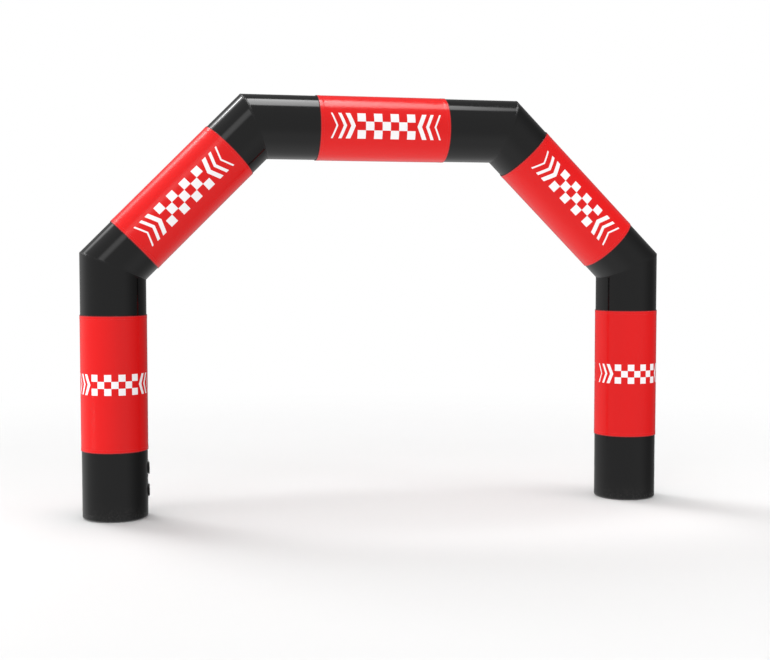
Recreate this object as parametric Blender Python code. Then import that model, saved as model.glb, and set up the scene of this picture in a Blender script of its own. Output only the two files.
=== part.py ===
"""Inflatable arch: five welded air tubes, five slip-on banner sleeves, two air valves.

The arch stands in the XZ plane with +Z up. The origin is on the ground midway
between the legs. Every length is in metres.
"""
import math

import bmesh
import bpy
from mathutils import Vector

# Air tubes
CLOTH_WIDTH = 2.00                # width of the coated cloth that is rolled into a tube
TUBE_RADIUS = CLOTH_WIDTH / (2.0 * math.pi)
LEG_SPACING = 5.35                # between the axes of the two legs
LEG_HEIGHT = 2.465                # ground to the lower elbow, on the tube's axis
RISE_RUN = 1.38                   # a rise goes this far in and this far up, at 45 degrees
FOOT_ROUND = 0.024                # radius of the edge where a leg's wall meets its base

# Banner sleeves
SLEEVE_LENGTH = 1.325
SLEEVE_CLOTH = 0.003              # one layer of banner cloth
HEM_DEPTH = 0.040                 # the cloth is turned under this far at both ends
HEM_SLOPE = 0.006                 # where the hem's inner layer stops
HEM_ROUND = 0.0015                # rounding of the hem's folded edge
LEG_SLEEVE_HEIGHT = 1.330         # ground to the middle of a leg's sleeve
RISE_SLEEVE_SLIP = -0.023         # the left rise's sleeve sits this far below its middle
BEAM_SLEEVE_SLIP = -0.010         # and the beam's this far to the left

# Air valves, on the inner side of the left leg
VALVE_HEIGHTS = {"lower": 0.256, "upper": 0.4765}
PATCH_RADIUS = 0.085              # round patch that is welded to the tube
PATCH_CLOTH = 0.0015
SEAT_RADIUS = 0.052               # collar under the cap
SEAT_SLOPE = 0.003                # how far the collar's wall spreads at its foot
SEAT_RISE = 0.0035                # collar's flat top, above the tube's crown
CAP_RADIUS = 0.0625
CAP_TOP = 0.0135                  # cap's outer face, above the tube's crown
CAP_ROUND = 0.0025
CAP_GRIPS = 16                    # finger hollows around the cap's rim
GRIP_DEPTH = 0.0012
DISH_RADIUS = 0.046               # shallow dish in the cap's face
DISH_DEPTH = 0.0016

# How the pieces meet and how finely they are drawn
GAP = 0.0003                      # between neighbouring pieces
TUBE_STEPS = 64                   # sides of a tube
ROUND_STEPS = 4                   # steps around a rounded edge
PATCH_STEPS = 40
PATCH_RING = 0.012                # spacing of the patch's rings, so that it follows the tube
CAP_STEPS = 4 * CAP_GRIPS

# Worked out from the sizes above
LEG_X = LEG_SPACING / 2.0
BEAM_LENGTH = LEG_SPACING - 2.0 * RISE_RUN
RISE_LENGTH = RISE_RUN * math.sqrt(2.0)
BEAM_HEIGHT = LEG_HEIGHT + RISE_RUN
RISE_ANGLE = math.radians(45.0)
MITRE_SLOPE = math.tan(RISE_ANGLE / 2.0)
MITRE_GAP = (GAP / 2.0) / math.cos(RISE_ANGLE / 2.0)
SLEEVE_INNER = TUBE_RADIUS + GAP
SLEEVE_OUTER = SLEEVE_INNER + 2.0 * SLEEVE_CLOTH


def clear_scene():
    for thing in list(bpy.data.objects):
        bpy.data.objects.remove(thing, do_unlink=True)


def make_material(name, colour, roughness, metallic=0.0):
    material = bpy.data.materials.new(name)
    material.use_nodes = True
    shader = material.node_tree.nodes["Principled BSDF"]
    shader.inputs["Base Color"].default_value = (*colour, 1.0)
    shader.inputs["Roughness"].default_value = roughness
    shader.inputs["Metallic"].default_value = metallic
    material.diffuse_color = (*colour, 1.0)
    return material


def make_empty(name, turn=0.0):
    empty = bpy.data.objects.new(name, None)
    empty.rotation_euler = (0.0, 0.0, turn)
    bpy.context.collection.objects.link(empty)
    return empty


def make_object(name, mesh, material, parent=None, place=(0.0, 0.0, 0.0), tilt=0.0):
    """Link a mesh as an object. tilt turns its own Z axis towards its parent's +X."""
    thing = bpy.data.objects.new(name, mesh)
    thing.location = place
    thing.rotation_euler = (0.0, tilt, 0.0)
    thing.parent = parent
    if not mesh.materials:
        mesh.materials.append(None)
    thing.material_slots[0].link = "OBJECT"
    thing.material_slots[0].material = material
    bpy.context.collection.objects.link(thing)
    return thing


def finish_mesh(name, builder):
    """Turn a bmesh into a mesh with its faces outward and its round sides smooth."""
    bmesh.ops.recalc_face_normals(builder, faces=builder.faces[:])
    mesh = bpy.data.meshes.new(name)
    builder.to_mesh(mesh)
    builder.free()
    mesh.shade_smooth()
    mesh.set_sharp_from_angle(angle=math.radians(30.0))
    return mesh


def bridge(builder, ring_a, ring_b):
    """Join two rings of equally many points with a band of faces."""
    count = len(ring_a)
    for i in range(count):
        j = (i + 1) % count
        builder.faces.new((ring_a[i], ring_a[j], ring_b[j], ring_b[i]))


def skin_mesh(name, rings, closed_loop=False):
    """Skin a stack of rings, with flat ends, or with the last ring joined to the first."""
    builder = bmesh.new()
    drawn = [[builder.verts.new(point) for point in ring] for ring in rings]
    for ring_a, ring_b in zip(drawn, drawn[1:]):
        bridge(builder, ring_a, ring_b)
    if closed_loop:
        bridge(builder, drawn[-1], drawn[0])
    else:
        builder.faces.new(drawn[0])
        builder.faces.new(drawn[-1])
    return finish_mesh(name, builder)


def round_ring(radius, height, steps=TUBE_STEPS):
    """A ring about the Z axis. height is a number, or a function of the point's x."""
    ring = []
    for step in range(steps):
        turn = 2.0 * math.pi * step / steps
        x = radius * math.cos(turn)
        z = height(x) if callable(height) else height
        ring.append(Vector((x, radius * math.sin(turn), z)))
    return ring


# Tubes. A tube's own Z axis runs along it and its own X axis points into the gateway.

def mitre_at(length):
    """Ring heights for a tube's far end, cut shorter on the gateway side."""
    return lambda x: length - MITRE_GAP - x * MITRE_SLOPE


def mitre_start():
    return lambda x: MITRE_GAP + x * MITRE_SLOPE


def leg_mesh():
    rings = []
    for step in range(ROUND_STEPS + 1):
        turn = math.pi / 2.0 * step / ROUND_STEPS
        radius = TUBE_RADIUS - FOOT_ROUND * (1.0 - math.sin(turn))
        rings.append(round_ring(radius, FOOT_ROUND * (1.0 - math.cos(turn))))
    rings.append(round_ring(TUBE_RADIUS, mitre_at(LEG_HEIGHT)))
    return skin_mesh("leg", rings)


def mitred_tube_mesh(name, length):
    start = round_ring(TUBE_RADIUS, mitre_start())
    return skin_mesh(name, [start, round_ring(TUBE_RADIUS, mitre_at(length))])


# Sleeves. One closed ring of cloth, turned under and so two layers deep at both ends.

def sleeve_mesh():
    half = SLEEVE_LENGTH / 2.0
    inside = SLEEVE_OUTER - SLEEVE_CLOTH
    upper_half = [
        (SLEEVE_OUTER, half - HEM_ROUND),
        (SLEEVE_OUTER - HEM_ROUND, half),
        (SLEEVE_INNER, half),
        (SLEEVE_INNER, half - HEM_DEPTH),
        (inside, half - HEM_DEPTH - HEM_SLOPE),
    ]
    lower_half = [(radius, -height) for radius, height in reversed(upper_half)]
    rings = [round_ring(radius, height) for radius, height in upper_half + lower_half]
    return skin_mesh("sleeve", rings, closed_loop=True)


# Valves. A valve's own Z axis points out of the leg, from the leg's axis.

def on_tube(radius, turn, lift):
    """A point that is lift above the tube's wall, at a radius from the valve's axis."""
    across = radius * math.sin(turn)
    out = math.sqrt((TUBE_RADIUS + lift) ** 2 - across ** 2)
    return Vector((radius * math.cos(turn), across, out))


def wall_rings(start, end, lift):
    """Rings of points that follow the tube's wall, from one radius to another."""
    turns = [2.0 * math.pi * step / PATCH_STEPS for step in range(PATCH_STEPS)]
    count = math.ceil(abs(end - start) / PATCH_RING)
    radii = [start + (end - start) * step / count for step in range(count + 1)]
    return [[on_tube(radius, turn, lift) for turn in turns] for radius in radii]


def valve_seat_mesh():
    """Welded patch that follows the tube, with a round collar that has a flat top."""
    underside = wall_rings(PATCH_RING, PATCH_RADIUS, GAP)
    upper_side = wall_rings(PATCH_RADIUS, SEAT_RADIUS + SEAT_SLOPE, GAP + PATCH_CLOTH)
    collar_top = round_ring(SEAT_RADIUS, TUBE_RADIUS + SEAT_RISE, PATCH_STEPS)
    return skin_mesh("valve_seat", underside + upper_side + [collar_top])


def cap_ring(radius, height, grip=0.0):
    """A ring of the cap, drawn in by up to grip at each finger hollow."""
    ring = []
    for step in range(CAP_STEPS):
        turn = 2.0 * math.pi * step / CAP_STEPS
        drawn_in = grip * (1.0 - math.cos(CAP_GRIPS * turn)) / 2.0
        reach = radius - drawn_in
        ring.append(Vector((reach * math.cos(turn), reach * math.sin(turn), height)))
    return ring


def valve_cap_mesh():
    bottom = TUBE_RADIUS + SEAT_RISE + GAP
    top = TUBE_RADIUS + CAP_TOP
    rings = [
        cap_ring(CAP_RADIUS - CAP_ROUND / 2.0, bottom, GRIP_DEPTH),
        cap_ring(CAP_RADIUS, bottom + CAP_ROUND / 2.0, GRIP_DEPTH),
    ]
    for step in range(ROUND_STEPS + 1):
        turn = math.pi / 2.0 * step / ROUND_STEPS
        radius = CAP_RADIUS - CAP_ROUND * (1.0 - math.cos(turn))
        height = top - CAP_ROUND * (1.0 - math.sin(turn))
        rings.append(cap_ring(radius, height, GRIP_DEPTH * math.cos(turn)))
    rings.append(cap_ring(DISH_RADIUS, top))
    rings.append(cap_ring(DISH_RADIUS - DISH_DEPTH, top - DISH_DEPTH))
    return skin_mesh("valve_cap", rings)


def build_side(side, turn, meshes):
    """One leg and its rise, with their sleeves. The right side is the left turned round."""
    side_empty = make_empty("side_" + side, turn)
    leg = make_object(
        "tube_leg_" + side, meshes["leg"], tube_material("leg_" + side), side_empty,
        place=(-LEG_X, 0.0, 0.0))
    rise = make_object(
        "tube_rise_" + side, meshes["rise"], tube_material("rise_" + side), side_empty,
        place=(-LEG_X, 0.0, LEG_HEIGHT), tilt=RISE_ANGLE)
    make_object(
        "sleeve_leg_" + side, meshes["sleeve"], sleeve_material("leg_" + side), leg,
        place=(0.0, 0.0, LEG_SLEEVE_HEIGHT))
    slip = RISE_SLEEVE_SLIP if side == "left" else 0.0
    make_object(
        "sleeve_rise_" + side, meshes["sleeve"], sleeve_material("rise_" + side), rise,
        place=(0.0, 0.0, RISE_LENGTH / 2.0 + slip))


def build_beam(meshes):
    beam = make_object(
        "tube_beam", meshes["beam"], tube_material("beam"), None,
        place=(-BEAM_LENGTH / 2.0, 0.0, BEAM_HEIGHT), tilt=math.radians(90.0))
    make_object(
        "sleeve_beam", meshes["sleeve"], sleeve_material("beam"), beam,
        place=(0.0, 0.0, BEAM_LENGTH / 2.0 + BEAM_SLEEVE_SLIP))


def build_valves():
    seat_mesh = valve_seat_mesh()
    cap_mesh = valve_cap_mesh()
    for place, height in VALVE_HEIGHTS.items():
        axis = make_empty("valve_axis_" + place)
        axis.location = (-LEG_X, 0.0, height)
        axis.rotation_euler = (0.0, math.radians(90.0), 0.0)
        seat_black = make_material("seat_black_" + place, (0.020, 0.020, 0.021), 0.45)
        cap_black = make_material("cap_black_" + place, (0.026, 0.026, 0.028), 0.38)
        make_object("valve_seat_" + place, seat_mesh, seat_black, axis)
        make_object("valve_cap_" + place, cap_mesh, cap_black, axis)


def tube_material(place):
    return make_material("coated_cloth_" + place, (0.022, 0.022, 0.023), 0.22)


def sleeve_material(place):
    return make_material("banner_cloth_" + place, (0.85, 0.022, 0.022), 0.35)


def build_arch():
    clear_scene()
    meshes = {
        "leg": leg_mesh(),
        "rise": mitred_tube_mesh("rise", RISE_LENGTH),
        "beam": mitred_tube_mesh("beam", BEAM_LENGTH),
        "sleeve": sleeve_mesh(),
    }
    build_side("left", 0.0, meshes)
    build_side("right", math.pi, meshes)
    build_beam(meshes)
    build_valves()
    bpy.context.view_layer.update()


build_arch()
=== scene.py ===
import math

import bpy
from mathutils import Matrix, Vector, noise


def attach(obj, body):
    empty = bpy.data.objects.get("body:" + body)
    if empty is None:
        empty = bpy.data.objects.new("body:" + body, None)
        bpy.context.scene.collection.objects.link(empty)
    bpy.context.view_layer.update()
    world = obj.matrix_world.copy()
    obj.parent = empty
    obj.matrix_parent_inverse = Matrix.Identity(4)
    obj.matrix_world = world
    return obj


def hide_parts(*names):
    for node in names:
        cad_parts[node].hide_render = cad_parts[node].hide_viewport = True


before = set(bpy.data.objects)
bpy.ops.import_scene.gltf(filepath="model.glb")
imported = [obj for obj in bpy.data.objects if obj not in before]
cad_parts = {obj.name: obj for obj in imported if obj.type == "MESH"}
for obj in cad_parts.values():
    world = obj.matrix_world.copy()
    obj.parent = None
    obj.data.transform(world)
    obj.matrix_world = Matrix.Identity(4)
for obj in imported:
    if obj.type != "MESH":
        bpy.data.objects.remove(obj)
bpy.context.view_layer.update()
print("frame loaded")

# Sizes of the arch in metres, as the frame has them
arch = {
    "tubeRadius": 1.0 / math.pi,      # 2 m of cloth rolled into a tube
    "legSpacing": 5.35,
    "legHeight": 2.465,
    "riseRun": 1.38,
    "sleeveLength": 1.325,
    "legSleeveHeight": 1.330,
    "riseSleeveSlip": -0.023,         # along the left rise only
    "beamSleeveSlip": -0.010,
}
tubeRadius = arch["tubeRadius"]
girth = 2.0 * math.pi * tubeRadius
legX = arch["legSpacing"] / 2.0
riseLength = arch["riseRun"] * math.sqrt(2.0)
beamLength = arch["legSpacing"] - 2.0 * arch["riseRun"]
beamHeight = arch["legHeight"] + arch["riseRun"]
mitreSlope = math.tan(math.radians(22.5))


def placed(x, z, tilt, side):
    turned = Matrix.Rotation(0.0 if side == "Left" else math.pi, 4, "Z")
    return turned @ Matrix.Translation((x, 0.0, z)) @ Matrix.Rotation(math.radians(tilt), 4, "Y")


# A tube's own Z runs along it and its own X points into the gateway.
# back is the sign of its own Y at the back of the arch.
tubes = {}
for side, back in (("Left", 1.0), ("Right", -1.0)):
    slip = arch["riseSleeveSlip"] if side == "Left" else 0.0
    tubes["Leg" + side] = {
        "node": "leg_" + side.lower(), "frame": placed(-legX, 0.0, 0.0, side), "back": back,
        "length": arch["legHeight"], "foot": True, "sleeveAt": arch["legSleeveHeight"],
        "seed": 3.0 + back}
    tubes["Rise" + side] = {
        "node": "rise_" + side.lower(), "frame": placed(-legX, arch["legHeight"], 45.0, side),
        "back": back, "length": riseLength, "foot": False, "sleeveAt": riseLength / 2.0 + slip,
        "seed": 7.0 + back}
tubes["Beam"] = {
    "node": "beam", "frame": placed(-beamLength / 2.0, beamHeight, 90.0, "Left"), "back": 1.0,
    "length": beamLength, "foot": False, "sleeveAt": beamLength / 2.0 + arch["beamSleeveSlip"],
    "seed": 11.0}


# Mesh tools

def smoothStep(value, low, high):
    share = min(1.0, max(0.0, (value - low) / (high - low)))
    return share * share * (3.0 - 2.0 * share)


def polar(radius, turn, height):
    return Vector((radius * math.cos(turn), radius * math.sin(turn), height))


def ringMesh(name, rings, arcs, runs, welds=None, joinEnds=False, sharpAngle=35.0):
    # rings of points become a closed skin; arcs and runs are its flat coordinates in metres
    columns = len(rings[0])
    points = [point for ring in rings for point in ring]
    faces = []
    flat = []
    last = len(rings) if joinEnds else len(rings) - 1
    for row in range(last):
        nextRow = (row + 1) % len(rings)
        for column in range(columns):
            side = (column + 1) % columns
            faces.append((row * columns + column, row * columns + side,
                          nextRow * columns + side, nextRow * columns + column))
            near, far = arcs[column], arcs[column + 1]
            flat += [(near, runs[row][column]), (far, runs[row][side]),
                     (far, runs[nextRow][side]), (near, runs[nextRow][column])]
    if not joinEnds:
        first = list(range(columns))
        end = [(len(rings) - 1) * columns + column for column in range(columns)]
        faces += [tuple(reversed(first)), tuple(end)]
        flat += [(0.0, 0.0)] * (2 * columns)
    mesh = bpy.data.meshes.new(name)
    mesh.from_pydata(points, [], faces)
    layer = mesh.uv_layers.new(name="flatCloth")
    layer.data.foreach_set("uv", [value for pair in flat for value in pair])
    if welds is not None:
        mark = mesh.attributes.new("weld", "FLOAT", "POINT")
        mark.data.foreach_set("value", [value for row in welds for value in row])
    mesh.shade_smooth()
    mesh.set_sharp_from_angle(angle=math.radians(sharpAngle))
    mesh.update()
    return mesh


def addPiece(name, mesh, place, body, material, node=None):
    mesh.transform(place)
    piece = bpy.data.objects.new(name, mesh)
    mesh.materials.append(material)
    bpy.context.collection.objects.link(piece)
    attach(piece, body)
    if node:
        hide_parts(node)
    return piece


# Material tools

def newGroup(name, inputs, outputs):
    # inputs hold each number's start value
    group = bpy.data.node_groups.new(name, "ShaderNodeTree")
    for label, value in inputs.items():
        socket = group.interface.new_socket(label, in_out="INPUT", socket_type="NodeSocketFloat")
        socket.default_value = value
    for label in outputs:
        group.interface.new_socket(label, in_out="OUTPUT", socket_type="NodeSocketFloat")
    return group, group.nodes.new("NodeGroupInput"), group.nodes.new("NodeGroupOutput")


def feed(tree, socket, value):
    if isinstance(value, bpy.types.NodeSocket):
        tree.links.new(value, socket)
    else:
        socket.default_value = value


def calc(tree, operation, *values):
    node = tree.nodes.new("ShaderNodeMath")
    node.operation = operation
    for socket, value in zip(node.inputs, values):
        feed(tree, socket, value)
    return node.outputs[0]


def ramp(tree, value, low, high, start=0.0, end=1.0, smooth=False):
    node = tree.nodes.new("ShaderNodeMapRange")
    node.interpolation_type = "SMOOTHSTEP" if smooth else "LINEAR"
    feed(tree, node.inputs["Value"], value)
    for label, number in zip(("From Min", "From Max", "To Min", "To Max"), (low, high, start, end)):
        feed(tree, node.inputs[label], number)
    return node.outputs["Result"]


def mixColour(tree, share, first, second):
    node = tree.nodes.new("ShaderNodeMix")
    node.data_type = "RGBA"
    feed(tree, node.inputs[0], share)
    feed(tree, node.inputs[6], first)
    feed(tree, node.inputs[7], second)
    return node.outputs[2]


def placeGroup(tree, group, **values):
    node = tree.nodes.new("ShaderNodeGroup")
    node.node_tree = group
    for label, value in values.items():
        feed(tree, node.inputs[label], value)
    return node


def cloudNoise(tree, where, scale, detail=2.0, roughness=0.5):
    node = tree.nodes.new("ShaderNodeTexNoise")
    feed(tree, node.inputs["Vector"], where)
    feed(tree, node.inputs["Scale"], scale)
    node.inputs["Detail"].default_value = detail
    node.inputs["Roughness"].default_value = roughness
    return node.outputs["Fac"]


def partsOf(tree, vector):
    node = tree.nodes.new("ShaderNodeSeparateXYZ")
    tree.links.new(vector, node.inputs[0])
    return node.outputs


def shaderOf(name, roughness=0.5, specular=0.5):
    material = bpy.data.materials.new(name)
    material.use_nodes = True
    tree = material.node_tree
    shader = tree.nodes["Principled BSDF"]
    shader.inputs["Roughness"].default_value = roughness
    shader.inputs["Specular IOR Level"].default_value = specular
    return material, tree, shader


def addBump(tree, shader, height, distance):
    bump = tree.nodes.new("ShaderNodeBump")
    bump.inputs["Distance"].default_value = distance
    feed(tree, bump.inputs["Height"], height)
    tree.links.new(bump.outputs["Normal"], shader.inputs["Normal"])


def flatCoordinates(tree):
    # arc and run along the cloth, in metres
    node = tree.nodes.new("ShaderNodeUVMap")
    node.uv_map = "flatCloth"
    parts = partsOf(tree, node.outputs[0])
    return parts[0], parts[1]


# Surface effects, each built once as a node group with its own values
weaveLook = {"slubAcross": 0.03, "slubAlong": 0.9, "threadShade": 0.5}
weldLook = {"pressedFrom": 0.2}
handlingLook = {"broadScale": 2.2, "broadDetail": 4.0, "broadRoughness": 0.6, "fineScale": 38.0,
                "fineDetail": 3.0, "fineRoughness": 0.7, "smear": (0.12, 0.42), "specks": (0.42, 0.72)}
grainLook = {"detail": 3.0, "roughness": 0.65, "coarseScale": 0.22, "coarseHeight": 0.6}


def weaveGroup():
    # plain weave seen through a coating: threads pass over and under by turns
    group, given, made = newGroup(
        "threadWeave", {"Arc": 0.0, "Run": 0.0, "Pitch": 0.001, "Slub": 0.3}, ("Height", "Shade"))
    across = calc(group, "DIVIDE", given.outputs["Arc"], given.outputs["Pitch"])
    along = calc(group, "DIVIDE", given.outputs["Run"], given.outputs["Pitch"])
    humps = []
    for axis in (across, along):
        humps.append(calc(group, "SINE", calc(group, "MULTIPLY", calc(group, "FRACT", axis), math.pi)))
    cells = calc(group, "ADD", calc(group, "FLOOR", across), calc(group, "FLOOR", along))
    parity = calc(group, "FLOORED_MODULO", cells, 2.0)
    over = calc(group, "MULTIPLY", parity, humps[0])
    under = calc(group, "MULTIPLY", calc(group, "SUBTRACT", 1.0, parity), humps[1])
    height = calc(group, "ADD", over, under)
    joined = group.nodes.new("ShaderNodeCombineXYZ")
    group.links.new(calc(group, "MULTIPLY", across, weaveLook["slubAcross"]), joined.inputs[0])
    group.links.new(calc(group, "MULTIPLY", along, weaveLook["slubAlong"]), joined.inputs[1])
    slub = calc(group, "MULTIPLY", cloudNoise(group, joined.outputs[0], 1.0), given.outputs["Slub"])
    group.links.new(calc(group, "ADD", height, slub), made.inputs["Height"])
    shade = calc(group, "MULTIPLY_ADD", height, weaveLook["threadShade"], slub)
    group.links.new(shade, made.inputs["Shade"])
    return group


def weldGroup():
    # fine diamond pressing that a hot wheel leaves on a weld
    group, given, made = newGroup(
        "weldPressing", {"Arc": 0.0, "Run": 0.0, "Pitch": 0.004, "Mask": 0.0}, ("Height",))
    waves = []
    for sign in (1.0, -1.0):
        way = calc(group, "MULTIPLY_ADD", given.outputs["Run"], sign, given.outputs["Arc"])
        steps = calc(group, "DIVIDE", way, given.outputs["Pitch"])
        waves.append(calc(group, "SINE", calc(group, "MULTIPLY", steps, 2.0 * math.pi)))
    pressing = ramp(group, calc(group, "MAXIMUM", *waves), weldLook["pressedFrom"], 1.0, smooth=True)
    group.links.new(calc(group, "MULTIPLY", pressing, given.outputs["Mask"]), made.inputs["Height"])
    return group


def handlingGroup():
    # marks of use: smears over the whole piece, and floor dust that fades with height
    look = handlingLook
    group, given, made = newGroup(
        "handling", {"Scale": 1.0, "Dust Height": 0.3}, ("Smear", "Dust", "Tone"))
    place = group.nodes.new("ShaderNodeNewGeometry").outputs["Position"]
    scale = given.outputs["Scale"]
    broad = cloudNoise(group, place, calc(group, "MULTIPLY", scale, look["broadScale"]),
                       look["broadDetail"], look["broadRoughness"])
    fine = cloudNoise(group, place, calc(group, "MULTIPLY", scale, look["fineScale"]),
                      look["fineDetail"], look["fineRoughness"])
    smear = calc(group, "MULTIPLY", broad, fine)
    group.links.new(ramp(group, smear, *look["smear"], smooth=True), made.inputs["Smear"])
    height = partsOf(group, place)[2]
    low = ramp(group, height, 0.0, given.outputs["Dust Height"], 1.0, 0.0, smooth=True)
    specks = ramp(group, fine, *look["specks"])
    group.links.new(calc(group, "MULTIPLY", low, specks), made.inputs["Dust"])
    group.links.new(broad, made.inputs["Tone"])
    return group


def grainGroup():
    # spark-eroded texture of a moulding
    look = grainLook
    group, given, made = newGroup("mouldGrain", {"Scale": 900.0}, ("Height",))
    place = group.nodes.new("ShaderNodeTexCoord").outputs["Object"]
    scale = given.outputs["Scale"]
    fine = cloudNoise(group, place, scale, look["detail"], look["roughness"])
    coarse = cloudNoise(group, place, calc(group, "MULTIPLY", scale, look["coarseScale"]), 1.0)
    group.links.new(calc(group, "MULTIPLY_ADD", coarse, look["coarseHeight"], fine),
                    made.inputs["Height"])
    return group


# Print on the sleeves: a chequered bar between two sets of chevrons, in metres
raceMarks = {"square": 0.084, "columns": 7, "rows": 3, "chevrons": 3, "chevronStep": 0.088,
             "chevronWidth": 0.046, "chevronLean": 0.42, "chevronSlimming": 0.16, "chevronGap": 0.4,
             "edge": 0.0012}


def raceMarkGroup():
    group, given, made = newGroup("raceMarks", {"Along": 0.0, "Across": 0.0, "Scale": 1.0}, ("Mask",))
    edge, square = raceMarks["edge"], raceMarks["square"]
    along = calc(group, "DIVIDE", given.outputs["Along"], given.outputs["Scale"])
    across = calc(group, "DIVIDE", given.outputs["Across"], given.outputs["Scale"])
    reachAlong = calc(group, "ABSOLUTE", along)
    reachAcross = calc(group, "ABSOLUTE", across)
    halfLength = raceMarks["columns"] * square / 2.0
    halfHeight = raceMarks["rows"] * square / 2.0
    inHeight = ramp(group, reachAcross, halfHeight - edge, halfHeight, 1.0, 0.0)
    inLength = ramp(group, reachAlong, halfLength - edge, halfLength, 1.0, 0.0)
    cells = []
    for way in (along, across):
        cells.append(calc(group, "FLOOR", calc(group, "MULTIPLY_ADD", way, 1.0 / square, 0.5)))
    odd = calc(group, "FLOORED_MODULO", calc(group, "ADD", *cells), 2.0)
    squares = calc(group, "SUBTRACT", 1.0, odd)
    chequers = calc(group, "MULTIPLY", squares, inLength)
    # chevrons point at the bar, and each is slimmer than the one before
    lean = calc(group, "MULTIPLY_ADD", reachAcross, -raceMarks["chevronLean"], reachAlong)
    start = halfLength + raceMarks["chevronGap"] * raceMarks["chevronWidth"]
    steps = calc(group, "DIVIDE", calc(group, "SUBTRACT", lean, start), raceMarks["chevronStep"])
    firstWidth = raceMarks["chevronWidth"] / raceMarks["chevronStep"]
    width = calc(group, "MULTIPLY_ADD", calc(group, "FLOOR", steps), -raceMarks["chevronSlimming"],
                 firstWidth)
    bars = calc(group, "LESS_THAN", calc(group, "FRACT", steps), width)
    known = calc(group, "MULTIPLY", calc(group, "GREATER_THAN", steps, 0.0),
                 calc(group, "LESS_THAN", steps, float(raceMarks["chevrons"])))
    chevrons = calc(group, "MULTIPLY", bars, known)
    marks = calc(group, "MAXIMUM", chequers, chevrons)
    group.links.new(calc(group, "MULTIPLY", marks, inHeight), made.inputs["Mask"])
    return group


threadWeave = weaveGroup()
weldPressing = weldGroup()
handling = handlingGroup()
mouldGrain = grainGroup()
raceMarkNodes = raceMarkGroup()
print("node groups built")

# Air tubes
tubeCloth = {"colour": (0.0030, 0.0030, 0.0031, 1.0), "uneven": (0.00375, 0.00375, 0.003875, 1.0),
             "dust": (0.10, 0.095, 0.088, 1.0), "dustHeight": 0.22, "dustShare": 0.12,
             "specular": 0.26, "glossiest": 0.065, "dullest": 0.15, "weldDulling": 0.10,
             "dustDulling": 0.8, "threadPitch": 0.0012, "threadRelief": 0.18, "weldPitch": 0.0042,
             "weldRelief": 6.0, "relief": 0.00003, "slub": 0.5, "wearScale": 1.0}
# rows gives the distance of each close row of points from a mitre. The pucker values shape the
# small gathers beside a mitre weld; a larger noise value varies them more often round the tube.
tubeShape = {"columns": 192, "rowStep": 0.032, "lapWidth": 0.022, "lapRise": 0.0006, "lapTurn": 100.0,
             "bandWidth": 0.014, "bandRise": 0.0002, "edge": 0.0015,
             "rows": (0.0, 0.001, 0.0025, 0.005, 0.014, 0.0155, 0.022, 0.03, 0.04, 0.052, 0.066, 0.082,
                      0.10, 0.12),
             "puckerDepth": 0.0003, "puckerReach": 0.045, "puckerStart": 0.006, "puckerCount": 30.0,
             "puckerDrift": 2.0, "driftNoise": 1.2, "puckerEvenness": 0.55, "evennessNoise": 2.3,
             "footRound": 0.024, "footSteps": 6, "footBand": (0.032, 0.062)}


def tubeMaterial():
    look = tubeCloth
    material, tree, shader = shaderOf("coatedCloth", specular=look["specular"])
    arc, run = flatCoordinates(tree)
    weave = placeGroup(tree, threadWeave, Arc=arc, Run=run, Pitch=look["threadPitch"],
                       Slub=look["slub"])
    mark = tree.nodes.new("ShaderNodeAttribute")
    mark.attribute_name = "weld"
    welded = mark.outputs["Fac"]
    pressing = placeGroup(tree, weldPressing, Arc=arc, Run=run, Pitch=look["weldPitch"], Mask=welded)
    marks = placeGroup(tree, handling, Scale=look["wearScale"])
    marks.inputs["Dust Height"].default_value = look["dustHeight"]
    dust = calc(tree, "MULTIPLY", marks.outputs["Dust"], look["dustShare"])
    tone = mixColour(tree, marks.outputs["Tone"], look["colour"], look["uneven"])
    tree.links.new(mixColour(tree, dust, tone, look["dust"]), shader.inputs["Base Color"])
    gloss = ramp(tree, marks.outputs["Smear"], 0.0, 1.0, look["glossiest"], look["dullest"])
    rough = calc(tree, "MULTIPLY_ADD", welded, look["weldDulling"], gloss)
    rough = calc(tree, "MULTIPLY_ADD", dust, look["dustDulling"], rough)
    tree.links.new(rough, shader.inputs["Roughness"])
    threads = calc(tree, "MULTIPLY", weave.outputs["Height"], look["threadRelief"])
    height = calc(tree, "MULTIPLY_ADD", pressing.outputs["Height"], look["weldRelief"], threads)
    addBump(tree, shader, height, look["relief"])
    return material


def tubeTurns(lapAt):
    # even steps round a tube, and closer ones at the two edges of its lengthwise lap
    half = tubeShape["lapWidth"] / 2.0 / tubeRadius
    fine = tubeShape["edge"] / tubeRadius
    span = 2.0 * math.pi - 2.0 * (half + fine)
    columns = tubeShape["columns"]
    turns = [lapAt + turn for turn in (-half - fine, -half, 0.0, half)]
    return turns + [lapAt + half + fine + span * step / columns for step in range(columns)]


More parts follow.
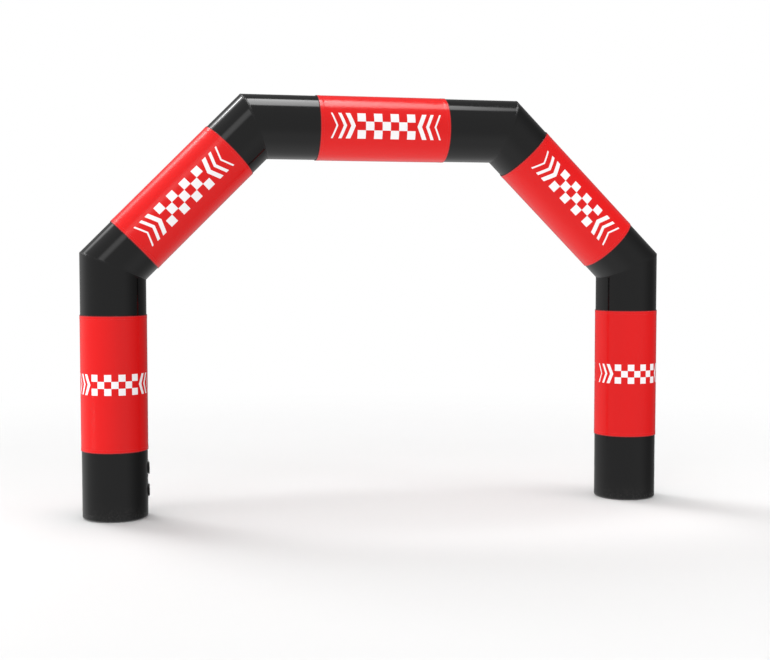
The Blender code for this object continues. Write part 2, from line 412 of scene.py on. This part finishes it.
def tubeRadiusAt(turn, lapAt, toJoint, toFoot, seed):
    # radius of the cloth here, and how far it is welded
    shape = tubeShape
    edge = shape["edge"]
    away = abs(math.remainder(turn - lapAt, 2.0 * math.pi)) * tubeRadius
    lap = 1.0 - smoothStep(away, shape["lapWidth"] / 2.0, shape["lapWidth"] / 2.0 + edge)
    band = 1.0 - smoothStep(toJoint, shape["bandWidth"], shape["bandWidth"] + edge)
    footBand = 0.0
    if toFoot is not None:
        low, high = shape["footBand"]
        footBand = smoothStep(toFoot, low - edge, low) - smoothStep(toFoot, high, high + edge)
    drift = shape["puckerDrift"] * noise.noise(polar(shape["driftNoise"], turn, seed))
    ripple = math.sin(shape["puckerCount"] * turn + drift)
    cloud = noise.noise(polar(shape["evennessNoise"], turn, seed + 4.0))
    pull = math.exp(-toJoint / shape["puckerReach"]) * (1.0 - math.exp(-toJoint / shape["puckerStart"]))
    pucker = shape["puckerDepth"] * pull * (shape["puckerEvenness"] + cloud) * ripple
    weld = max(lap, band, footBand)
    raised = max(lap * shape["lapRise"], band * shape["bandRise"])
    return tubeRadius + raised + pucker, weld


def tubeMesh(name, tube):
    shape = tubeShape
    lapAt = math.radians(shape["lapTurn"]) * tube["back"]
    turns = tubeTurns(lapAt)
    low, high = shape["footBand"]
    nearFoot = [low - shape["edge"], low, high, high + shape["edge"]]
    reach = shape["rows"][-1]
    startReach = nearFoot[-1] if tube["foot"] else reach
    middle = int((tube["length"] - startReach - reach) / shape["rowStep"])
    rings, runs, welds = [], [], []

    def addRow(heightOf, onFoot=False, inward=0.0):
        ring, run, weld = [], [], []
        for turn in turns:
            x = tubeRadius * math.cos(turn)
            height = heightOf(x)
            toFoot = height if onFoot else None
            radius, mark = tubeRadiusAt(turn, lapAt, toJoint(x, height), toFoot, tube["seed"])
            ring.append(polar(radius - inward, turn, height))
            run.append(height)
            weld.append(mark)
        rings.append(ring)
        runs.append(run)
        welds.append(weld)

    def top(x):
        return tube["length"] - x * mitreSlope

    def bottom(x):
        return 0.0 if tube["foot"] else x * mitreSlope

    def toJoint(x, height):
        toTop = top(x) - height
        return toTop if tube["foot"] else min(toTop, height - bottom(x))

    if tube["foot"]:
        for step in range(shape["footSteps"] + 1):
            angle = math.pi / 2.0 * step / shape["footSteps"]
            height = shape["footRound"] * (1.0 - math.cos(angle))
            addRow(lambda x: height, inward=shape["footRound"] * (1.0 - math.sin(angle)))
        for offset in nearFoot:
            addRow(lambda x: offset, onFoot=True)
    else:
        for offset in shape["rows"]:
            addRow(lambda x: bottom(x) + offset)
    for step in range(1, middle):
        share = step / middle
        addRow(lambda x: (bottom(x) + startReach) * (1.0 - share) + (top(x) - reach) * share)
    for offset in reversed(shape["rows"]):
        addRow(lambda x: top(x) - offset)
    arcs = [(turn - turns[0]) * tubeRadius for turn in turns] + [girth]
    return ringMesh(name, rings, arcs, runs, welds)


coatedCloth = tubeMaterial()
for name, tube in tubes.items():
    pieceName = "airTube" + name
    piece = addPiece(pieceName, tubeMesh(pieceName, tube), tube["frame"], "arch",
                     coatedCloth, "tube_" + tube["node"])
print("air tubes made")

# Banner sleeves: one cloth, folded under at both ends and closed by a lengthwise flap
sleeveCloth = {"colour": (0.735, 0.0050, 0.0054, 1.0), "uneven": (0.58, 0.0040, 0.0045, 1.0),
               "unevenShare": 0.12, "print": (0.94, 0.92, 0.93, 1.0),
               "redShadow": (0.25, 0.002, 0.002, 1.0), "printShadow": (0.62, 0.58, 0.60, 1.0),
               "shadowEnd": 0.9, "shadowShare": 0.10, "specular": 0.26, "glossiest": 0.18,
               "dullest": 0.25, "inkDulling": 0.05, "inkRelief": 0.4, "relief": 0.000005,
               "threadPitch": 0.0011, "slub": 0.6, "wearScale": 0.8, "legPrint": 0.80, "spanPrint": 1.0,
               # the hem colours that follow are painted: a dark shade line along the folded edge and a
               # pale highlight band just inside it
               "foldShade": (0.09, 0.0012, 0.0014, 1.0), "foldShadeBand": (0.0050, 0.0070),
               "foldShadeShare": 0.88, "hemHighlight": (0.42, 0.045, 0.050, 1.0),
               "hemHighlightBand": (0.0100, 0.0125), "hemHighlightShare": 0.40}
# endRow, hemRows and seamRows are distances from the sleeve's end, and underRows shares of the hem.
# slopeSteps places the columns of points beside the flap, counted in flap edges.
sleeveShape = {"columns": 192, "rowStep": 0.034, "cloth": 0.0014, "hem": 0.040, "hemOut": 0.0062,
               "hemSlope": 0.004, "bodyOut": 0.0052, "foldRound": 0.0015, "foldSteps": 5,
               "foldSlack": 0.2, "foldFollows": 0.002, "underRows": (1.0, 0.6, 0.2), "endRow": 0.003,
               "hemRows": (0.012, 0.020, 0.028), "bodyStart": 0.012, "flapTurn": 9.0,
               "flapWidth": 0.034, "flapRise": 0.0009, "flapEdge": 0.0008, "flapSlope": 0.012,
               "slopeSteps": (6.0, 12.0), "seamRows": (0.006, 0.034), "seamHalf": 0.0022,
               "seamDent": 0.00035, "seamSpread": 0.0016, "puckerDepth": 0.00015,
               "puckerReach": 0.009, "puckerCount": 74.0, "puckerDrift": 3.0, "driftNoise": 3.0,
               "overlap": 0.040}
# beads gives the place and lift of a stitch's three thick points
stitch = {"length": 0.0052, "pitch": 0.0066, "thread": 0.00045, "endSink": 0.5,
          "beads": ((-0.62, 0.1), (0.0, 0.5), (0.62, 0.1)), "endGap": 0.008, "flapInset": 0.004,
          "colour": (0.66, 0.055, 0.060, 1.0), "pale": (0.80, 0.11, 0.12, 1.0), "specular": 0.4,
          "twistScale": 2600.0, "twist": (0.3, 0.7), "glossiest": 0.40, "dullest": 0.60}


def sleeveMaterial(name, markScale, turnMarks, frontArc):
    look = sleeveCloth
    material, tree, shader = shaderOf(name, specular=look["specular"])
    arc, run = flatCoordinates(tree)
    weave = placeGroup(tree, threadWeave, Arc=arc, Run=run, Pitch=look["threadPitch"],
                       Slub=look["slub"])
    marks = placeGroup(tree, handling, Scale=look["wearScale"])
    # the same marks face the front and the back, half a girth apart
    fromFront = calc(tree, "SUBTRACT", arc, frontArc - girth / 4.0)
    aside = calc(tree, "SUBTRACT", calc(tree, "FLOORED_MODULO", fromFront, girth / 2.0), girth / 4.0)
    along, across = (aside, run) if turnMarks else (run, aside)
    ink = placeGroup(tree, raceMarkNodes, Along=along, Across=across, Scale=markScale).outputs["Mask"]
    patchy = calc(tree, "MULTIPLY", marks.outputs["Tone"], look["unevenShare"])
    printed = mixColour(tree, ink, mixColour(tree, patchy, look["colour"], look["uneven"]),
                        look["print"])
    shade = ramp(tree, weave.outputs["Shade"], 0.0, look["shadowEnd"], look["shadowShare"], 0.0)
    shadow = mixColour(tree, ink, look["redShadow"], look["printShadow"])
    cloth = mixColour(tree, shade, printed, shadow)
    # painted highlight: a pale band along the hem outside its first stitch row; painted shade: a dark
    # line along its folded edge
    fromEdge = calc(tree, "SUBTRACT", arch["sleeveLength"] / 2.0, calc(tree, "ABSOLUTE", run))
    # painted highlight: a pale desaturated band along the hem, just inside the dark folded edge
    hemHighlight = ramp(tree, fromEdge, *look["hemHighlightBand"], look["hemHighlightShare"], 0.0)
    # painted shade: a dark line within a few millimetres of the sleeve's end
    folded = ramp(tree, fromEdge, *look["foldShadeBand"], look["foldShadeShare"], 0.0)
    hem = mixColour(tree, hemHighlight, cloth, look["hemHighlight"])
    tree.links.new(mixColour(tree, folded, hem, look["foldShade"]), shader.inputs["Base Color"])
    gloss = ramp(tree, marks.outputs["Smear"], 0.0, 1.0, look["glossiest"], look["dullest"])
    rough = calc(tree, "MULTIPLY_ADD", ink, look["inkDulling"], gloss)
    tree.links.new(rough, shader.inputs["Roughness"])
    height = calc(tree, "MULTIPLY_ADD", ink, look["inkRelief"], weave.outputs["Height"])
    addBump(tree, shader, height, look["relief"])
    return material


def sleeveProfile():
    # distance along the sleeve and depth of the cloth's own line, from one raw edge to the other;
    # no depth means that the cloth follows sleeveOut
    shape = sleeveShape
    half = arch["sleeveLength"] / 2.0
    inner = shape["hemOut"] - 2.0 * shape["foldRound"] - shape["cloth"] * shape["foldSlack"]
    middle = (shape["hemOut"] + inner) / 2.0
    bend = (shape["hemOut"] - inner) / 2.0
    folded = [(half - shape["hem"] * share, inner) for share in shape["underRows"]]
    for step in range(shape["foldSteps"] + 1):
        angle = math.pi * step / shape["foldSteps"]
        folded.append((half - bend + bend * math.sin(angle), middle - bend * math.cos(angle)))
    runs = [half - shape["endRow"]]
    for seam in shape["seamRows"]:
        runs += [half - seam + shape["seamHalf"], half - seam, half - seam - shape["seamHalf"]]
    runs += [half - row for row in shape["hemRows"]]
    runs += [half - shape["hem"], half - shape["hem"] - shape["hemSlope"]]
    runs = sorted(runs, reverse=True)
    start = runs[-1] - shape["bodyStart"]
    count = int(2.0 * start / shape["rowStep"])
    outer = runs + [start - 2.0 * start * step / count for step in range(count + 1)]
    outer += [-run for run in reversed(runs)]
    line = folded + [(run, None) for run in outer]
    return line + [(-run, depth) for run, depth in reversed(folded)]


def sleeveOut(run, turn, flapAt, seed):
    # how far the cloth's outer face stands off the tube
    shape = sleeveShape
    fromEdge = arch["sleeveLength"] / 2.0 - abs(run)
    out = shape["bodyOut"] + (shape["hemOut"] - shape["bodyOut"]) * (
        1.0 - smoothStep(fromEdge, shape["hem"], shape["hem"] + shape["hemSlope"]))
    for seam in shape["seamRows"]:
        gap = (fromEdge - seam) / shape["seamSpread"]
        out -= shape["seamDent"] * math.exp(-gap * gap)
        drift = shape["puckerDrift"] * noise.noise(polar(shape["driftNoise"], turn, seed + run))
        pull = math.exp(-abs(fromEdge - seam) / shape["puckerReach"])
        out += shape["puckerDepth"] * pull * math.sin(shape["puckerCount"] * turn + drift)
    aside = math.remainder(turn - flapAt, 2.0 * math.pi) * tubeRadius
    edge = shape["flapWidth"] / 2.0
    flap = smoothStep(aside, -edge - shape["flapEdge"], -edge) * (
        1.0 - smoothStep(aside, edge, edge + shape["flapSlope"]))
    return out + shape["flapRise"] * flap


def sleeveTurns(flapAt):
    # even steps round a sleeve, and closer ones at its flap
    shape = sleeveShape
    half = shape["flapWidth"] / 2.0 / tubeRadius
    fine = shape["flapEdge"] / tubeRadius
    middleStep, lastStep = shape["slopeSteps"]
    rest = 2.0 * math.pi - 2.0 * half - (lastStep + 1.0) * fine
    turns = [flapAt - half - fine, flapAt - half, flapAt, flapAt + half]
    turns.append(flapAt + half + middleStep * fine)
    start = flapAt + half + lastStep * fine
    return turns + [start + rest * step / shape["columns"] for step in range(shape["columns"])]


def sleeveMesh(name, tube):
    shape = sleeveShape
    flapAt = math.radians(shape["flapTurn"]) * tube["back"]
    turns = sleeveTurns(flapAt)
    line = sleeveProfile()
    thick = shape["cloth"] / 2.0
    outerRings, innerRings = [], []

    def depthOf(point):
        return shape["hemOut"] if point[1] is None else point[1]

    for index, (run, depth) in enumerate(line):
        # the cloth's own direction here gives the way its two faces part
        before, after = line[max(0, index - 1)], line[min(len(line) - 1, index + 1)]
        outer, inner = [], []
        for turn in turns:
            if depth is None:
                away = sleeveOut(run, turn, flapAt, tube["seed"]) - thick
                faceOut, faceRun = 1.0, 0.0
            else:
                end = math.copysign(arch["sleeveLength"] / 2.0, run)
                lift = sleeveOut(end, turn, flapAt, tube["seed"]) - shape["hemOut"]
                away = depth - thick + lift * smoothStep(depth, shape["foldFollows"], shape["hemOut"])
                stepOut = depthOf(after) - depthOf(before)
                stepRun = after[0] - before[0]
                size = math.hypot(stepOut, stepRun)
                faceOut, faceRun = -stepRun / size, stepOut / size
            middle = tubeRadius + away
            outer.append(polar(middle + thick * faceOut, turn, run + thick * faceRun))
            inner.append(polar(middle - thick * faceOut, turn, run - thick * faceRun))
        outerRings.append(outer)
        innerRings.append(inner)
    arcs = [(turn - turns[0]) * tubeRadius for turn in turns] + [girth]
    rings = list(reversed(outerRings)) + innerRings
    runs = [[run] * len(turns) for run, depth in line]
    runs = list(reversed(runs)) + runs
    return ringMesh(name, rings, arcs, runs, joinEnds=True, sharpAngle=50.0), turns[0]


def stitchMesh(name, rows):
    # rows hold (place, along, out) for each stitch; a stitch is a short flat bead of thread
    half, thread = stitch["length"] / 2.0, stitch["thread"]
    points, faces = [], []
    for place, along, out in rows:
        side = along.cross(out)
        sunk = out * thread * stitch["endSink"]
        first = len(points)
        points.append(place - along * half - sunk)
        for share, lift in stitch["beads"]:
            centre = place + along * half * share + out * thread * lift
            points += [centre + out * thread, centre + side * thread, centre - out * thread,
                       centre - side * thread]
        points.append(place + along * half - sunk)
        for corner in range(4):
            nextCorner = (corner + 1) % 4
            faces.append((first, first + 1 + nextCorner, first + 1 + corner))
            for ring in (0, 1):
                base = first + 1 + 4 * ring
                faces.append((base + corner, base + nextCorner, base + 4 + nextCorner,
                              base + 4 + corner))
            faces.append((first + 9 + corner, first + 9 + nextCorner, first + 13))
    mesh = bpy.data.meshes.new(name)
    mesh.from_pydata(points, [], faces)
    mesh.shade_smooth()
    mesh.update()
    return mesh


def sleeveStitches(name, tube):
    shape = sleeveShape
    flapAt = math.radians(shape["flapTurn"]) * tube["back"]
    half = arch["sleeveLength"] / 2.0
    rows = []

    def addStitch(run, turn, along):
        radius = tubeRadius + sleeveOut(run, turn, flapAt, tube["seed"])
        rows.append((polar(radius, turn, run), along, polar(1.0, turn, 0.0)))

    count = int(girth / stitch["pitch"])
    for end in (-1.0, 1.0):
        for seam in shape["seamRows"]:
            for step in range(count):
                turn = 2.0 * math.pi * step / count
                addStitch(end * (half - seam), turn, polar(1.0, turn + math.pi / 2.0, 0.0))
    count = int((2.0 * half - 2.0 * stitch["endGap"]) / stitch["pitch"])
    reach = shape["flapWidth"] / 2.0 - stitch["flapInset"]
    for aside in (-reach, reach):
        turn = flapAt + aside / tubeRadius
        for step in range(count):
            run = -half + stitch["endGap"] + (step + 0.5) * stitch["pitch"]
            addStitch(run, turn, Vector((0.0, 0.0, 1.0)))
    return stitchMesh(name, rows)


def threadMaterial():
    material, tree, shader = shaderOf("sewingThread", specular=stitch["specular"])
    place = tree.nodes.new("ShaderNodeTexCoord").outputs["Object"]
    twist = cloudNoise(tree, place, stitch["twistScale"], 1.0)
    tone = mixColour(tree, twist, stitch["colour"], stitch["pale"])
    tree.links.new(tone, shader.inputs["Base Color"])
    rough = ramp(tree, twist, *stitch["twist"], stitch["glossiest"], stitch["dullest"])
    tree.links.new(rough, shader.inputs["Roughness"])
    return material


sewingThread = threadMaterial()
sleeveMaterials = {}
for name, tube in tubes.items():
    pieceName = "bannerSleeve" + name
    mesh, startTurn = sleeveMesh(pieceName, tube)
    # the front lies opposite the back, a quarter turn from the tube's own X
    frontArc = (math.radians(-90.0) * tube["back"] - startTurn) % (2.0 * math.pi) * tubeRadius
    onLeg = tube["foot"]
    key = (onLeg, tube["back"])
    if key not in sleeveMaterials:
        label = "bannerCloth" + ("Leg" if onLeg else "Span") + ("A" if tube["back"] > 0.0 else "B")
        scale = sleeveCloth["legPrint" if onLeg else "spanPrint"]
        sleeveMaterials[key] = sleeveMaterial(label, scale, onLeg, frontArc)
    place = tube["frame"] @ Matrix.Translation((0.0, 0.0, tube["sleeveAt"]))
    sleeve = addPiece(pieceName, mesh, place, "arch", sleeveMaterials[key],
                      "sleeve_" + tube["node"])
    threads = addPiece("sleeveStitches" + name, sleeveStitches("sleeveStitches" + name, tube), place,
                       "arch", sewingThread)
print("banner sleeves made")

# Air valves on the left leg. A valve's own Z points out of the leg.
# patchEdge and dishSlope run inwards from the rim of the patch and of the dish.
valve = {"gap": 0.0003, "heights": {"Lower": 0.256, "Upper": 0.4765}, "columns": 240,
         "rowPitch": 0.004, "patch": 0.085, "patchCloth": 0.0015, "patchEdge": (-0.0001, 0.0012),
         "patchRows": 26, "underRows": (0.012, 0.024, 0.036, 0.048, 0.060, 0.072),
         "underInset": 0.0006, "seat": 0.052, "seatSlope": 0.003, "seatRise": 0.0035,
         "seatBevel": 0.0008, "ridges": (0.064, 0.078), "ridgeRise": 0.0005, "ridgeSpread": 0.0014,
         "cap": 0.0625, "capTop": 0.0135, "capRound": 0.0025, "capBevel": 0.0012, "roundSteps": 6,
         "grips": 16, "gripDepth": 0.0012, "dish": 0.046, "dishDepth": 0.0052, "dishRim": 0.0012,
         "dishRows": 64, "dishLip": 0.0006, "dishHub": 0.002, "dishSlope": (-0.0008, 0.0040),
         "barLength": 0.034, "barWidth": 0.0065, "barSlope": 0.0028, "barEndSlope": 0.006,
         "barRise": 0.92}
mouldedBlack = {"seat": {"colour": (0.0125, 0.0125, 0.0130, 1.0), "glossiest": 0.34,
                         "dullest": 0.52, "grain": 1500.0},
                "cap": {"colour": (0.0155, 0.0155, 0.0165, 1.0), "glossiest": 0.26,
                        "dullest": 0.44, "grain": 1900.0},
                "worn": (0.060, 0.060, 0.062, 1.0), "wornEdge": (0.52, 0.60), "wearScale": 9.0,
                "relief": 0.00008}


def valveMaterial(name, look):
    material, tree, shader = shaderOf(name)
    grain = placeGroup(tree, mouldGrain, Scale=look["grain"])
    marks = placeGroup(tree, handling, Scale=mouldedBlack["wearScale"])
    edges = tree.nodes.new("ShaderNodeNewGeometry").outputs["Pointiness"]
    sharp = ramp(tree, edges, *mouldedBlack["wornEdge"], smooth=True)
    worn = calc(tree, "MULTIPLY", sharp, marks.outputs["Tone"])
    tone = mixColour(tree, worn, look["colour"], mouldedBlack["worn"])
    tree.links.new(tone, shader.inputs["Base Color"])
    rough = ramp(tree, marks.outputs["Smear"], 0.0, 1.0, look["glossiest"], look["dullest"])
    tree.links.new(rough, shader.inputs["Roughness"])
    addBump(tree, shader, grain.outputs["Height"], mouldedBlack["relief"])
    return material


def onTube(radius, turn, lift):
    # a point round the valve's axis that lies this far off the tube
    across = radius * math.sin(turn)
    out = math.sqrt((tubeRadius + lift) ** 2 - across ** 2)
    return Vector((radius * math.cos(turn), across, out))


valveTurns = [2.0 * math.pi * step / valve["columns"] for step in range(valve["columns"])]


def valveMesh(name, rings):
    arcs = [turn * valve["cap"] for turn in valveTurns] + [2.0 * math.pi * valve["cap"]]
    runs = [[row * valve["rowPitch"]] * len(valveTurns) for row in range(len(rings))]
    return ringMesh(name, rings, arcs, runs, sharpAngle=40.0)


def seatMesh(name):
    gap, patch = valve["gap"], valve["patch"]
    under = valve["underRows"] + (patch - valve["underInset"],)
    rings = [[onTube(radius, turn, gap) for turn in valveTurns] for radius in under]
    wall = valve["seat"] + valve["seatSlope"]
    for step in range(valve["patchRows"] + 1):
        radius = patch + (wall - patch) * step / valve["patchRows"]
        lift = gap + valve["patchCloth"] * smoothStep(patch - radius, *valve["patchEdge"])
        for ridge in valve["ridges"]:
            away = (radius - ridge) / valve["ridgeSpread"]
            lift += valve["ridgeRise"] * math.exp(-away * away)
        rings.append([onTube(radius, turn, lift) for turn in valveTurns])
    crown = tubeRadius + valve["seatRise"]
    bevel = valve["seatBevel"]
    rings.append([polar(valve["seat"], turn, crown - bevel) for turn in valveTurns])
    rings.append([polar(valve["seat"] - bevel, turn, crown) for turn in valveTurns])
    return valveMesh(name, rings)


def capMesh(name):
    bottom = tubeRadius + valve["seatRise"] + valve["gap"]
    top = tubeRadius + valve["capTop"]
    bevel, dish = valve["capBevel"], valve["dish"]

    def ring(radius, height, grip=0.0):
        return [polar(radius - grip * (1.0 - math.cos(valve["grips"] * turn)) / 2.0, turn, height)
                for turn in valveTurns]

    rings = [ring(valve["cap"] - bevel, bottom, valve["gripDepth"]),
             ring(valve["cap"], bottom + bevel, valve["gripDepth"])]
    for step in range(valve["roundSteps"] + 1):
        angle = math.pi / 2.0 * step / valve["roundSteps"]
        rings.append(ring(valve["cap"] - valve["capRound"] * (1.0 - math.cos(angle)),
                          top - valve["capRound"] * (1.0 - math.sin(angle)),
                          valve["gripDepth"] * math.cos(angle)))
    rings.append(ring(dish + valve["dishRim"], top))
    # dish with a raised bar across it for two fingers
    barHalf = valve["barWidth"] / 2.0
    barEnd = valve["barLength"]
    last = valve["dishRows"] - 1
    for step in range(valve["dishRows"]):
        radius = dish + valve["dishLip"] - (dish - valve["dishHub"]) * step / last
        depth = valve["dishDepth"] * smoothStep(dish - radius, *valve["dishSlope"])
        row = []
        for turn in valveTurns:
            x, y = radius * math.cos(turn), radius * math.sin(turn)
            bar = (1.0 - smoothStep(abs(y), barHalf, barHalf + valve["barSlope"])) * (
                1.0 - smoothStep(abs(x), barEnd, barEnd + valve["barEndSlope"]))
            row.append(Vector((x, y, top - depth * (1.0 - valve["barRise"] * bar))))
        rings.append(row)
    return valveMesh(name, rings)


valveSeatBlack = valveMaterial("valveSeatBlack", mouldedBlack["seat"])
valveCapBlack = valveMaterial("valveCapBlack", mouldedBlack["cap"])
for place, height in valve["heights"].items():
    axis = Matrix.Translation((-legX, 0.0, height)) @ Matrix.Rotation(math.radians(90.0), 4, "Y")
    level = place.lower()
    addPiece("valvePatch" + place, seatMesh("valvePatch" + place), axis, "arch",
             valveSeatBlack, "valve_seat_" + level)
    addPiece("valveLid" + place, capMesh("valveLid" + place), axis, "cap_" + level,
             valveCapBlack, "valve_cap_" + level)
print("valves made")

# Floor, light and camera
studio = {
    "floorTone": 0.574, "floorFade": 3.5, "floorEnd": 12.0, "floorSides": 96, "floorDrop": 0.0004,
    "whiteWall": 1.0,     # behind the arch, for the camera
    "room": 0.20,         # the rest of the room, as the arch sees it
    # direction to each soft light, its half angle and edge in degrees, and its level
    "softLights": {
        "paleWall": {"towards": (-0.669, -0.743, 0.0), "half": 106.0, "edge": 34.0, "level": 0.67},
        "paleFloor": {"towards": (0.0, 0.0, -1.0), "half": 65.0, "edge": 19.0, "level": 0.28},
        "floorBehind": {"towards": (0.0, 0.50, -0.866), "half": 38.0, "edge": 28.0, "level": 0.48},
        "keyGlow": {"towards": (-0.45, 0.56, 0.70), "half": 8.5, "edge": 6.5, "level": 3.3},
        "fillLeft": {"towards": (-0.45, -0.67, 0.60), "half": 8.0, "edge": 6.5, "level": 2.1}},
    # ceiling panel, measured on a plane 1 m above the arch; its far right corner is cut away,
    # and it fades out towards the horizon
    "panel": {"left": (-0.24, 0.08), "right": (0.14, 0.44), "near": -0.22, "far": 0.38, "edge": 0.05,
              "cutFrom": 0.18, "cutSlope": 2.2, "lowest": 0.001, "horizon": (0.20, 0.25),
              "level": 9.5},
    "lamps": {"Left": {"place": (-8.0, -1.5, 3.0), "watts": 190.0},
              "LeftLow": {"place": (-6.8, -1.0, 0.35), "watts": 170.0},
              "Right": {"place": (6.2, -3.0, 4.2), "watts": 205.0}},
    "lampSize": 0.5,
    # two suns from the key's side: a wide soft one that stays out of the gloss, and the bright lamp
    "suns": {"softKey": {"towards": (-0.375, 0.62, 0.69), "width": 27.0, "strength": 1.35,
                         "gloss": False},
             "brightKey": {"towards": (-0.45, 0.56, 0.70), "width": 5.2, "strength": 0.125,
                           "gloss": True}}}
view = {"place": (-2.9529, -13.1998, 2.5768), "pitch": -3.2495, "yaw": -12.794, "lens": 61.99,
        "sensor": 36.0, "reach": 400.0}
white = (1.0, 1.0, 1.0, 1.0)
black = (0.0, 0.0, 0.0, 1.0)


def makeFloor():
    # a round floor whose rim fades into the white wall; only the camera sees it
    count = studio["floorSides"]
    ring = [polar(studio["floorEnd"], 2.0 * math.pi * step / count, -studio["floorDrop"])
            for step in range(count)]
    mesh = bpy.data.meshes.new("studioFloor")
    mesh.from_pydata(ring, [], [tuple(range(count))])
    floor = bpy.data.objects.new("studioFloor", mesh)
    bpy.context.collection.objects.link(floor)
    material, tree, shader = shaderOf("paleFloor", roughness=0.9, specular=0.0)
    tone = studio["floorTone"]
    size = tree.nodes.new("ShaderNodeVectorMath")
    size.operation = "LENGTH"
    tree.links.new(tree.nodes.new("ShaderNodeNewGeometry").outputs["Position"], size.inputs[0])
    fade = ramp(tree, size.outputs["Value"], studio["floorFade"], studio["floorEnd"], smooth=True)
    tree.links.new(mixColour(tree, fade, (tone, tone, tone, 1.0), black), shader.inputs["Base Color"])
    shader.inputs["Emission Color"].default_value = white
    glow = calc(tree, "MULTIPLY", fade, studio["whiteWall"])
    tree.links.new(glow, shader.inputs["Emission Strength"])
    seen = tree.nodes.new("ShaderNodeLightPath").outputs["Is Camera Ray"]
    tree.links.new(seen, shader.inputs["Alpha"])
    mesh.materials.append(material)


def softLight(tree, way, light):
    dot = tree.nodes.new("ShaderNodeVectorMath")
    dot.operation = "DOT_PRODUCT"
    tree.links.new(way, dot.inputs[0])
    dot.inputs[1].default_value = Vector(light["towards"]).normalized()
    inside = math.cos(math.radians(max(0.0, light["half"] - light["edge"])))
    outside = math.cos(math.radians(light["half"] + light["edge"]))
    return ramp(tree, dot.outputs["Value"], outside, inside, 0.0, light["level"], smooth=True)


def ceilingPanel(tree, way):
    panel = studio["panel"]
    x, y, z = partsOf(tree, way)
    height = calc(tree, "MAXIMUM", z, panel["lowest"])
    across = calc(tree, "DIVIDE", x, height)
    deep = calc(tree, "DIVIDE", y, height)
    cut = calc(tree, "MAXIMUM", calc(tree, "SUBTRACT", across, panel["cutFrom"]), 0.0)
    slanted = calc(tree, "MULTIPLY_ADD", cut, panel["cutSlope"], deep)
    sides = calc(tree, "MULTIPLY", ramp(tree, across, *panel["left"], smooth=True),
                 ramp(tree, across, *panel["right"], 1.0, 0.0, smooth=True))
    edge = panel["edge"]
    ends = calc(tree, "MULTIPLY",
                ramp(tree, deep, panel["near"] - edge, panel["near"] + edge, smooth=True),
                ramp(tree, slanted, panel["far"] - edge, panel["far"] + edge, 1.0, 0.0, smooth=True))
    overhead = ramp(tree, z, *panel["horizon"], 0.0, panel["level"], smooth=True)
    return calc(tree, "MULTIPLY", overhead, calc(tree, "MULTIPLY", sides, ends))


def makeDome():
    # the camera sees a plain white wall; all other rays see the room and its soft lights
    world = bpy.data.worlds.new("studioDome")
    bpy.context.scene.world = world
    world.use_nodes = True
    tree = world.node_tree
    tree.nodes.clear()
    way = tree.nodes.new("ShaderNodeTexCoord").outputs["Generated"]
    level = calc(tree, "ADD", ceilingPanel(tree, way), studio["room"])
    for light in studio["softLights"].values():
        level = calc(tree, "ADD", level, softLight(tree, way, light))
    dome = tree.nodes.new("ShaderNodeBackground")
    dome.inputs["Color"].default_value = white
    tree.links.new(level, dome.inputs["Strength"])
    wall = tree.nodes.new("ShaderNodeBackground")
    wall.inputs["Color"].default_value = white
    wall.inputs["Strength"].default_value = studio["whiteWall"]
    rays = tree.nodes.new("ShaderNodeLightPath")
    chosen = tree.nodes.new("ShaderNodeMixShader")
    tree.links.new(rays.outputs["Is Camera Ray"], chosen.inputs[0])
    tree.links.new(dome.outputs[0], chosen.inputs[1])
    tree.links.new(wall.outputs[0], chosen.inputs[2])
    output = tree.nodes.new("ShaderNodeOutputWorld")
    tree.links.new(chosen.outputs[0], output.inputs["Surface"])


def hangLamp(data, place, inGloss=False):
    holder = bpy.data.objects.new(data.name, data)
    holder.matrix_world = place
    holder.visible_glossy = inGloss
    holder.visible_camera = False
    bpy.context.collection.objects.link(holder)


def hangLamps():
    # fill lamps from both sides, which don't show in the gloss
    for side, lamp in studio["lamps"].items():
        data = bpy.data.lights.new("lamp" + side, "POINT")
        data.energy = lamp["watts"]
        data.shadow_soft_size = studio["lampSize"]
        hangLamp(data, Matrix.Translation(lamp["place"]))
    for name, sun in studio["suns"].items():
        data = bpy.data.lights.new(name, "SUN")
        data.energy = sun["strength"]
        data.angle = math.radians(sun["width"])
        turned = Vector(sun["towards"]).to_track_quat("Z", "Y").to_matrix().to_4x4()
        hangLamp(data, turned, sun["gloss"])


def makeCamera():
    data = bpy.data.cameras.new("view")
    data.lens = view["lens"]
    data.sensor_width = view["sensor"]
    data.clip_end = view["reach"]
    camera = bpy.data.objects.new("view", data)
    camera.location = view["place"]
    camera.rotation_euler = (math.radians(90.0 + view["pitch"]), 0.0, math.radians(view["yaw"]))
    bpy.context.collection.objects.link(camera)
    bpy.context.scene.camera = camera


makeFloor()
makeDome()
hangLamps()
makeCamera()
bpy.context.scene.view_settings.view_transform = "Standard"
print("floor, light and camera set")
